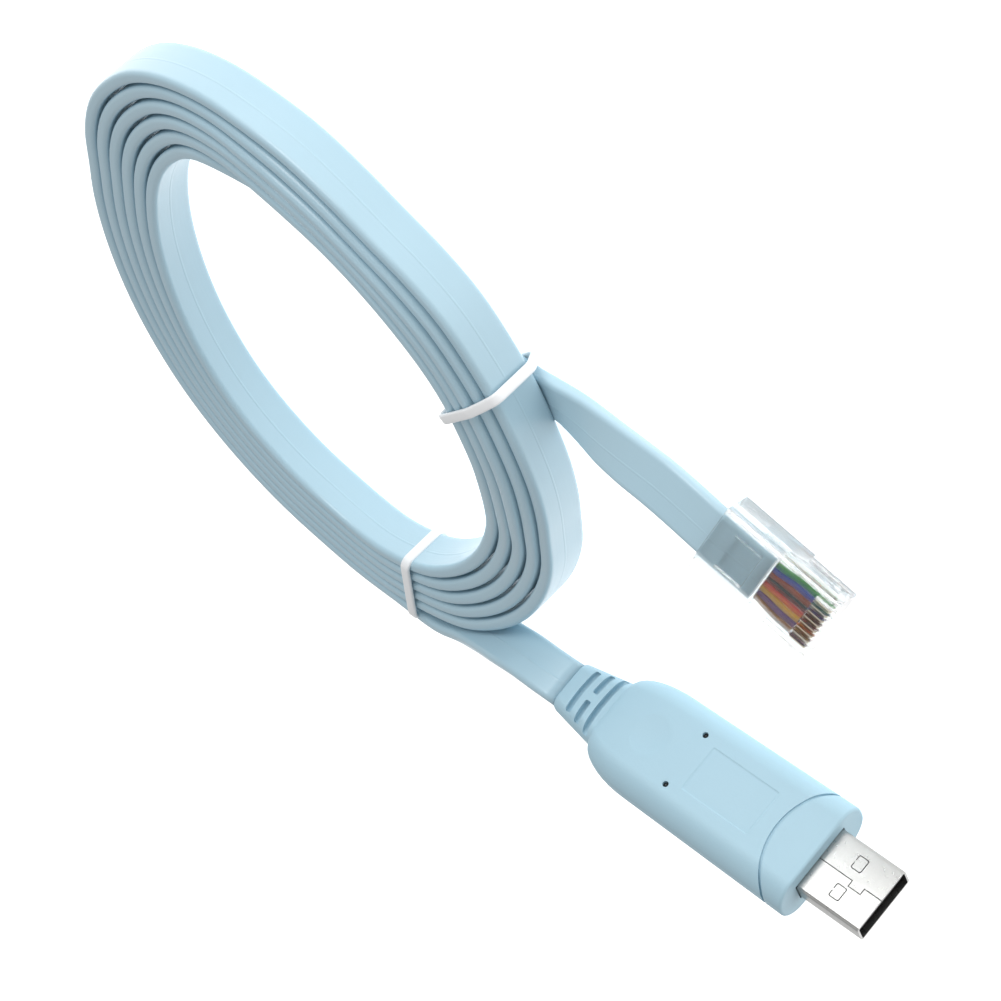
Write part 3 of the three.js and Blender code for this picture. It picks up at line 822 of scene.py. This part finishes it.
@dataclass
class UsbPlug:
    """The moulded USB-A plug, in its own frame: X rearwards, the shown face towards -Y."""

    length: float = 43.0
    width: float = 20.5
    shoulder_width: float = 19.4
    thickness: float = 10.0
    rear_width: float = 12.4
    rear_thickness: float = 7.2
    shoulder_length: float = 9.5
    corner: float = 4.4
    relief_length: float = 9.5
    relief_width: float = CABLE_WIDTH + 1.0
    relief_thickness: float = CABLE_THICKNESS + 1.8
    shell_width: float = 12.0
    shell_height: float = 4.5
    shell_reach: float = 12.2
    shell_insert: float = 4.0
    shell_wall: float = 0.35
    seam_width: float = 0.15
    seam_jog: tuple[float, float, float] = (-8.9, -6.5, 1.1)
    window_from_tip: float = 6.4
    window_offset: float = 2.8
    window_half_length: float = 1.0
    window_half_width: float = 1.25
    flap_bridge: float = 0.4
    pocket_clearance: float = 0.12
    groove_width: float = 0.55
    groove_depth: float = 0.32
    groove_at_side: float = 3.6
    groove_at_middle: float = 7.8
    slot_start: float = 1.3
    slot_pitch: float = 2.3
    slot_width: float = 1.15
    slot_floors: tuple[float, ...] = (1.8, 1.5, 1.3)
    slot_reach: float = 5.6
    slot_taper: float = 0.75
    slot_bridge: float = 1.5
    slot_bulge: float = 0.6
    slot_rounding: float = 0.35
    slot_slices: int = 12
    dish_from_front: float = 34.4
    dish_radius: tuple[float, float, float] = (9.6, 3.0, 9.6)
    dish_depth: float = 0.28
    led_from_front: float = 26.8
    led_spacing: float = 10.1
    led_diameter: float = 1.05
    led_sink: float = 0.75
    label_span: tuple[float, float] = (10.6, 24.6)
    label_half_width: float = 4.5
    label_depth: float = 0.12
    label_corner: float = 1.4

    @staticmethod
    def axis_height() -> float:
        """Gives the height of the plug's axis, which brings its lower edge to the floor."""
        low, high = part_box("usb_housing")
        return (low[2] + high[2]) / 2

    def body(self, name: str, inset: float) -> bpy.types.Object:
        """Draws the housing's outer form out from its front face.

        Args:
            name: The object's name.
            inset: How far inside the real surface it lies, in millimetres.

        Returns:
            The closed form.
        """
        thickness, width = self.thickness - 2 * inset, self.width - 2 * inset
        lip = 0.5
        piece = rounded_face(name, 0, thickness - 2 * lip, width - 2 * lip, self.corner - lip, 14)
        at = [thickness - 2 * lip, width - 2 * lip, 0.0]

        def to(x: float, new_thickness: float, new_width: float) -> None:
            draw_out(x - at[2], new_thickness / at[0], new_width / at[1], x)
            at[0], at[1], at[2] = new_thickness, new_width, x

        for i in range(1, 5):
            angle = math.radians(22.5 * i)
            to(lip * (1 - math.cos(angle)), thickness - 2 * lip * (1 - math.sin(angle)),
               width - 2 * lip * (1 - math.sin(angle)))
        start = self.length - self.shoulder_length
        for i in range(1, 9):
            share = i / 8
            to(lip + (start - lip) * share, thickness,
               width - (self.width - self.shoulder_width) * share)
        steps = 9
        for i in range(1, steps + 1):
            angle = math.radians(90 * i / steps)
            drop = 1 - math.cos(angle)
            to(start + self.shoulder_length * math.sin(angle),
               thickness - (self.thickness - self.rear_thickness) * drop,
               self.shoulder_width - 2 * inset - (self.shoulder_width - self.rear_width) * drop)
        relief = [(0.3, self.rear_thickness - 0.3, self.rear_width - 0.1),
                  (self.relief_length - 0.5, self.relief_thickness, self.relief_width),
                  (self.relief_length, self.relief_thickness - 0.5, self.relief_width - 0.5)]
        for step, new_thickness, new_width in relief:
            to(self.length + step, new_thickness - 2 * inset, new_width - 2 * inset)
        bpy.ops.object.mode_set(mode="OBJECT")
        return piece

    def groove(self) -> bpy.types.Object:
        """Makes the cutter of the arched groove, which crosses both broad faces at an even depth.

        Returns:
            The cutter.
        """
        reach = self.width / 2 + 1
        clear_selection()
        bpy.ops.mesh.primitive_grid_add(x_subdivisions=1, y_subdivisions=32, size=1,
                                        rotation=(math.pi / 2, 0, 0))
        bpy.context.object.scale = (self.groove_width * MM, 2 * reach * MM, 1)
        groove = settle("groove_cutter")
        for vertex in groove.data.vertices:
            share = max(1 - (2 * vertex.co.z / MM / self.width) ** 2, 0)
            vertex.co.x += blend_numbers(self.groove_at_side, self.groove_at_middle, share) * MM
            vertex.co.y = -self.thickness * MM
        only(groove)
        bpy.ops.object.mode_set(mode="EDIT")
        bpy.ops.mesh.select_all(action="SELECT")
        bpy.ops.mesh.extrude_region_move(
            TRANSFORM_OT_translate={"value": (0, 2 * self.thickness * MM, 0)})
        bpy.ops.mesh.select_all(action="SELECT")
        bpy.ops.mesh.normals_make_consistent(inside=False)
        bpy.ops.object.mode_set(mode="OBJECT")
        cut(groove, [self.body("core_cutter", self.groove_depth)])
        return groove

    def slots(self) -> list[bpy.types.Object]:
        """Makes the cutters of the strain relief's curved slots."""
        cutters = []
        for i, floor in enumerate(self.slot_floors):
            x = self.length + self.slot_start + self.slot_pitch * i
            reach = self.slot_reach - self.slot_taper * i
            runs = [(-reach, -self.slot_bridge / 2), (self.slot_bridge / 2, reach)] if i == 1 \
                else [(-reach, reach)]
            for low, high in runs:
                for side in Side:
                    ends = sorted((side.value * floor, side.value * self.thickness))
                    slot = add_box("slot_cutter", (x - self.slot_width / 2, ends[0], low),
                                   (x + self.slot_width / 2, ends[1], high))
                    use_modifier(slot, "BEVEL", width=self.slot_rounding * MM, segments=3)
                    slice_across(slot, 2, [low + (high - low) * step / self.slot_slices
                                           for step in range(1, self.slot_slices)])
                    for vertex in slot.data.vertices:
                        aside = vertex.co.z / MM / self.slot_reach
                        vertex.co.x += self.slot_bulge * (1 - aside ** 2) * MM
                    cutters.append(slot)
        return cutters

    def dish(self) -> bpy.types.Object:
        """Makes the cutter of the shallow thumb dish on the shown face."""
        clear_selection()
        length, height, width = self.dish_radius
        away = self.thickness / 2 + height - self.dish_depth
        place = (self.dish_from_front * MM, Side.SHOWN.value * away * MM, 0)
        bpy.ops.mesh.primitive_uv_sphere_add(segments=72, ring_count=36, radius=MM, location=place,
                                             rotation=(math.pi / 2, 0, 0))
        bpy.context.object.scale = (length, width, height)
        return settle("dish_cutter")

    def led_place(self, side: int, sink: float) -> Point:
        """Gives the place of one indicator at a depth under the shown face."""
        return (self.led_from_front * MM, Side.SHOWN.value * (self.thickness / 2 - sink) * MM,
                side * self.led_spacing / 2 * MM)

    def holes(self) -> list[bpy.types.Object]:
        """Makes the cutters of the two indicator holes."""
        cutters = []
        for side in (-1, 1):
            clear_selection()
            bpy.ops.mesh.primitive_cylinder_add(
                vertices=32, radius=self.led_diameter / 2 * MM, depth=3 * MM,
                location=self.led_place(side, 0.0), rotation=(math.pi / 2, 0, 0))
            cutters.append(settle("hole_cutter"))
        return cutters

    def label_recess(self) -> bpy.types.Object:
        """Makes the cutter of the bare label recess."""
        face = Side.SHOWN.value * self.thickness / 2
        front, rear = self.label_span
        recess = add_box("label_cutter", (front, face - 1, -self.label_half_width),
                         (rear, face + self.label_depth, self.label_half_width))
        use_modifier(recess, "BEVEL", width=self.label_corner * MM, segments=6)
        return recess

    def build_housing(self) -> bpy.types.Object:
        """Makes the moulded housing.

        Returns:
            The housing, in place.
        """
        housing = self.body("usb_moulding", 0)
        half_height = self.shell_height / 2 + self.pocket_clearance
        half_width = self.shell_width / 2 + self.pocket_clearance
        pocket = add_box("pocket_cutter", (-1, -half_height, -half_width),
                         (self.shell_insert + 0.3, half_height, half_width))
        cut(housing, [self.dish(), self.groove(), *self.slots(), *self.holes(),
                      self.label_recess(), pocket])
        soften(housing, 0.1, 2, 30)
        housing.data.transform(plug_matrix())
        dress(housing, HOUSING_VINYL.make())
        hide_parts("usb_housing")
        return housing

    def build_indicators(self) -> bpy.types.Object:
        """Makes the two dark indicator lenses at the bottom of their holes.

        Returns:
            The lenses as one piece, in place.
        """
        clear_selection()
        pair = []
        for side in (-1, 1):
            bpy.ops.mesh.primitive_uv_sphere_add(
                segments=24, ring_count=12, location=self.led_place(side, self.led_sink),
                radius=(self.led_diameter / 2 - 0.04) * MM)
            pair.append(bpy.context.object)
        only(pair[0])
        pair[1].select_set(True)
        bpy.ops.object.join()
        lenses = settle("indicator_lenses")
        soften(lenses, 0.0)
        lenses.data.transform(plug_matrix())
        dress(lenses, TONGUE_PLASTIC.make())
        return lenses

    def build_shell(self) -> bpy.types.Object:
        """Makes the folded metal shell with its windows and seam.

        Returns:
            The shell, in place.
        """
        reach, wall = self.shell_reach, self.shell_wall
        shell = rounded_face("usb_plug_shell", -reach, self.shell_height, self.shell_width, 0.6, 5)
        draw_out(reach + self.shell_insert, 1, 1, self.shell_insert)
        bpy.ops.object.mode_set(mode="OBJECT")
        bore = rounded_face("bore_cutter", -reach - 1, self.shell_height - 2 * wall,
                            self.shell_width - 2 * wall, 0.3, 4)
        draw_out(reach + self.shell_insert + 2, 1, 1, self.shell_insert + 1)
        bpy.ops.object.mode_set(mode="OBJECT")
        cutters = [bore]
        x = -reach + self.window_from_tip
        line = self.seam_width
        half_x, half_z = self.window_half_length, self.window_half_width
        for side in (-1, 1):
            middle = side * self.window_offset
            window = add_box("window_cutter", (x - half_x, -4, middle - half_z),
                             (x + half_x, 4, middle + half_z))
            use_modifier(window, "BEVEL", width=0.3 * MM, segments=3)
            flap = add_box("flap_core", (x - half_x + line, -5, middle - half_z + line),
                           (x + half_x - line, 5, middle + half_z - line))
            use_modifier(flap, "BEVEL", width=0.22 * MM, segments=3)
            bridge = add_box("bridge_core", (x, -5, middle - self.flap_bridge / 2),
                             (x + 2 * half_x, 5, middle + self.flap_bridge / 2))
            cut(window, [flap, bridge])
            cutters.append(window)
        near, far, step = self.seam_jog
        half = line / 2
        runs = [(far - half, 20.0, -half, half), (far - half, far + half, -half, step + half),
                (near - half, far + half, step - half, step + half),
                (near - half, near + half, -half, step + half), (-20.0, near + half, -half, half)]
        for x0, x1, z0, z1 in runs:
            cutters.append(add_box("seam_cutter", (x0, -4, z0), (x1, 0, z1)))
        cut(shell, cutters)
        soften(shell, 0.0)
        shell.data.transform(plug_matrix())
        dress(shell, SHELL_NICKEL.make())
        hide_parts("usb_shell")
        return shell

    def dress_inside(self) -> None:
        """Finishes the tongue and its contacts."""
        gold = CONTACT_GOLD.make()
        finishes = {f"usb_contact_{index}": gold for index in range(1, 5)}
        finishes["usb_tongue"] = TONGUE_PLASTIC.make()
        for node, finish in finishes.items():
            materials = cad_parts[node].data.materials
            materials.clear()
            materials.append(finish)

    def build(self) -> None:
        """Makes every piece of the plug."""
        self.build_housing()
        self.build_indicators()
        self.build_shell()
        self.dress_inside()


@dataclass
class ModularPlug:
    """The clear plug in its own frame: X forwards, Z out of the contact face."""

    length: float = 21.46
    width: float = 11.68
    thickness: float = 6.6
    jacket_depth: float = 10.5
    bore_clearance: float = 0.25
    nose: float = 1.0
    wire_pitch: float = 1.02
    wire_diameter: float = 0.94
    wire_end: float = 20.2
    wire_slices: int = 12
    wire_bore: tuple[float, float] = (4.3, 0.62)
    latch_setback: float = 2.4
    latch_length: float = 14.0
    latch_half_width: float = 3.1
    latch_root: float = 1.8
    latch_rise: float = 1.25
    latch_narrow_from: float = 9.0
    latch_narrowing: float = 0.62
    blade_setback: float = 0.6
    blade_length: float = 2.9
    blade_recess: float = 0.4
    pieces: list[bpy.types.Object] = field(default_factory=list)

    def wire_at(self, index: int) -> float:
        """Gives the sideways place of one contact."""
        return (index - 3.5) * self.wire_pitch

    def build_body(self) -> bpy.types.Object:
        """Makes the clear moulding with its bores, slots and latch.

        Returns:
            The body, in place.
        """
        half = self.width / 2
        body = add_box("clear_body", (0, -half, -self.thickness), (self.length, half, 0))
        slice_across(body, 0, [self.length - self.nose])
        for vertex in body.data.vertices:
            if vertex.co.x > (self.length - 0.1) * MM and vertex.co.z > -0.1 * MM:
                vertex.co.z = -self.nose * MM
        soften(body, 0.25, 2, 35)
        half_jacket = CABLE_WIDTH / 2 + self.bore_clearance
        half_thick = CABLE_THICKNESS / 2 + self.bore_clearance
        half_wires, half_rise = self.wire_bore
        cutters = [
            add_box("jacket_bore", (-1, -half_jacket, -CABLE_DEPTH - half_thick),
                    (self.jacket_depth, half_jacket, -CABLE_DEPTH + half_thick)),
            add_box("wire_bore", (self.jacket_depth - 1, -half_wires, -CABLE_DEPTH - half_rise),
                    (self.wire_end + 0.2, half_wires, -CABLE_DEPTH + half_rise)),
            add_box("wedge_window", (3.2, -3.0, -0.95), (8.2, 3.0, 1)),
        ]
        for index in range(8):
            y = self.wire_at(index)
            cutters.append(add_box("blade_slot", (self.length - 3.65, y - 0.28, -1.9),
                                   (self.length + 1, y + 0.28, 1)))
        for side in (-1, 1):
            low, high = sorted((side * (half - 0.55), side * (half + 1)))
            cutters.append(add_box("side_step", (self.length - 8.2, low, -self.thickness - 1),
                                   (self.length + 1, high, -self.thickness + 2.2)))
        cut(body, cutters)
        latch = self.build_latch()
        cut(body, [latch], "UNION")
        soften(body, 0.0)
        body.data.transform(jack_matrix())
        dress(body, CLEAR_PLASTIC.make())
        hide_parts("rj45_body")
        self.pieces.append(body)
        return body

    def build_latch(self) -> bpy.types.Object:
        """Makes the sprung latch from a thin plate that is bent away from the body."""
        front = self.length - self.latch_setback
        low = -self.thickness
        latch = add_box("latch", (front - self.latch_length, -self.latch_half_width, low - 0.9),
                        (front, self.latch_half_width, low + 0.3))
        slice_across(latch, 0, (front - 10.0, front - 5.0, front - 2.0))
        root = front - self.latch_root
        for vertex in latch.data.vertices:
            reach = max(root - vertex.co.x / MM, 0) / (self.latch_length - self.latch_root)
            if vertex.co.z > low * MM and reach > 0:
                vertex.co.z = low * MM - 0.1 * MM
            vertex.co.z -= self.latch_rise * reach * MM
            if vertex.co.x / MM < front - self.latch_narrow_from and abs(vertex.co.y) > 1 * MM:
                vertex.co.y *= self.latch_narrowing
        soften(latch, 0.15, 2, 40)
        return latch

    def build_wires(self) -> None:
        """Makes the eight wires that fan out from the jacket to the blades."""
        start = self.jacket_depth - 0.25
        for index, (name, colour) in enumerate(WIRE_COLOURS.items()):
            shade = tuple(value * 0.8 for value in colour)
            finish = VinylFinish(f"wire_{name}", colour, shade, 0.35, 1500, 0.01, 0.2)
            clear_selection()
            bpy.ops.mesh.primitive_cylinder_add(
                vertices=16, radius=self.wire_diameter / 2 * MM, depth=(self.wire_end - start) * MM,
                location=((self.wire_end + start) / 2 * MM, 0, -CABLE_DEPTH * MM),
                rotation=(0, math.pi / 2, 0))
            wire = settle(f"wire_{index + 1}_{name}")
            slice_across(wire, 0, [start + (self.wire_end - start) * step / self.wire_slices
                                   for step in range(1, self.wire_slices)])
            end = self.wire_at(7 - index)
            begin = end * 0.86
            for vertex in wire.data.vertices:
                share = smooth((vertex.co.x / MM - start) / 5.0)
                sway = 0.10 * math.sin(vertex.co.x / MM * 1.1 + index * 1.9)
                vertex.co.y += blend_numbers(begin, end, share) * MM
                vertex.co.z += sway * MM * (1 - share * 0.6)
            soften(wire, 0.0)
            wire.data.transform(jack_matrix())
            dress(wire, finish.make())
            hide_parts(f"rj45_wire_{index + 1}")
            self.pieces.append(wire)

    def build_blades(self) -> None:
        """Makes the eight contact blades in their slots."""
        gold = BLADE_GOLD.make()
        front = self.length - self.blade_setback
        for index in range(8):
            y = self.wire_at(index)
            blade = add_box(f"blade_{index + 1}", (front - self.blade_length, y - 0.15, -1.15),
                            (front, y + 0.15, -self.blade_recess))
            soften(blade, 0.05, 2, 40)
            blade.data.transform(jack_matrix())
            dress(blade, gold)
            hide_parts(f"rj45_contact_{index + 1}")
            self.pieces.append(blade)

    def build(self) -> None:
        """Makes every piece of the plug."""
        self.build_body()
        self.build_wires()
        self.build_blades()


@dataclass
class Tie:
    """One white tie: a thin soft band closed round the bundle."""

    name: str
    node: str
    inner: tuple[float, float]
    outer: tuple[float, float]
    lift: float
    stair: float
    beneath: tuple[tuple[float, float], ...] = ()
    width: float = 1.8
    thickness: float = 0.74
    gap: float = 0.12
    relax: float = 1.1
    slope: tuple[float, float] = (6.0, 3.2)
    corner_points: int = 32

    def section(self) -> list[tuple[float, float]]:
        """Outlines the band's own section, rounded at both edges."""
        radius = self.thickness / 2
        flat = self.width / 2 - radius
        turn = [math.radians(22.5 * step - 90) for step in range(9)]
        edge = [(radius * math.sin(angle), flat + radius * math.cos(angle)) for angle in turn]
        return edge + [(-rise, -side) for rise, side in edge]

    def outline(self, length: float) -> list[tuple[float, float]]:
        """Outlines the band's middle line in its own plane.

        Args:
            length: Distance across the bundle.

        Returns:
            Points with the way along the tie's line and the height.
        """
        top = self.lift + CABLE_WIDTH
        soft = self.relax
        corners = [(soft, self.lift + soft), (soft, top + self.stair - soft),
                   (length - self.slope[0], top + self.stair - soft),
                   (length - self.slope[1], top + self.stair / 2 - soft),
                   (length - soft, top - soft), (length - soft, self.lift + soft), *self.beneath]
        reach = soft + self.gap + self.thickness / 2
        cloud = []
        for along, height in corners:
            for step in range(self.corner_points):
                angle = math.tau * step / self.corner_points
                cloud.append((along + reach * math.cos(angle), height + reach * math.sin(angle)))
        return convex_outline(cloud)

    def build(self) -> bpy.types.Object:
        """Makes the band.

        Returns:
            The tie, in place.
        """
        start, end = Vector(self.inner), Vector(self.outer)
        line = (end - start).normalized()
        points = self.outline((end - start).length)
        aside = Vector((line.y, -line.x, 0))
        section = self.section()
        mesh = bmesh.new()
        rings = []
        for i, (along, height) in enumerate(points):
            before, after = Vector(points[i - 1]), Vector(points[(i + 1) % len(points)])
            way = (after - before).normalized()
            out = Vector((line.x * way.y, line.y * way.y, -way.x))
            at = Vector((start.x + line.x * along, start.y + line.y * along, height))
            rings.append([mesh.verts.new((at + out * rise + aside * side) * MM)
                          for rise, side in section])
        for i, ring in enumerate(rings):
            following = rings[(i + 1) % len(rings)]
            for j in range(len(ring)):
                k = (j + 1) % len(ring)
                mesh.faces.new((ring[j], ring[k], following[k], following[j])).smooth = True
        band = add_mesh(self.name, mesh)
        dress(band, TIE_PLASTIC.make())
        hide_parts(self.node)
        return band


def convex_outline(points: Sequence[tuple[float, float]]) -> list[tuple[float, float]]:
    """Finds the outline of a cloud of points.

    Args:
        points: The cloud.

    Returns:
        The outline's points, anticlockwise.
    """
    ordered = sorted(set((round(x, 5), round(y, 5)) for x, y in points))

    def chain(row: Iterable[tuple[float, float]]) -> list[tuple[float, float]]:
        kept: list[tuple[float, float]] = []
        for x, y in row:
            while len(kept) > 1:
                (x0, y0), (x1, y1) = kept[-2:]
                if (x1 - x0) * (y - y0) - (y1 - y0) * (x - x0) > 0:
                    break
                kept.pop()
            kept.append((x, y))
        return kept[:-1]

    return chain(ordered) + chain(reversed(ordered))


def main() -> None:
    """Builds the scene in order."""
    logging.basicConfig(level=logging.INFO, format="%(message)s")
    studio = Studio()
    studio.add_camera()
    cable = FlatCable()
    ribbon = cable.build()
    plug = ModularPlug()
    plug.build()
    ties = [
        Tie("tie_near", "tie_1", (47.8, -63.0), (37.3, -74.3), cable.crossing_lift,
            cable.stair * cable.stair_turns, ((2.6, 2.0), (11.6, 2.0))).build(),
        Tie("tie_far", "tie_2", (69.8, -0.6), (70.5, 15.2), cable.tie_lift, 0.0).build(),
    ]
    UsbPlug().build()
    studio.build()


if __name__ == "__main__":
    main()
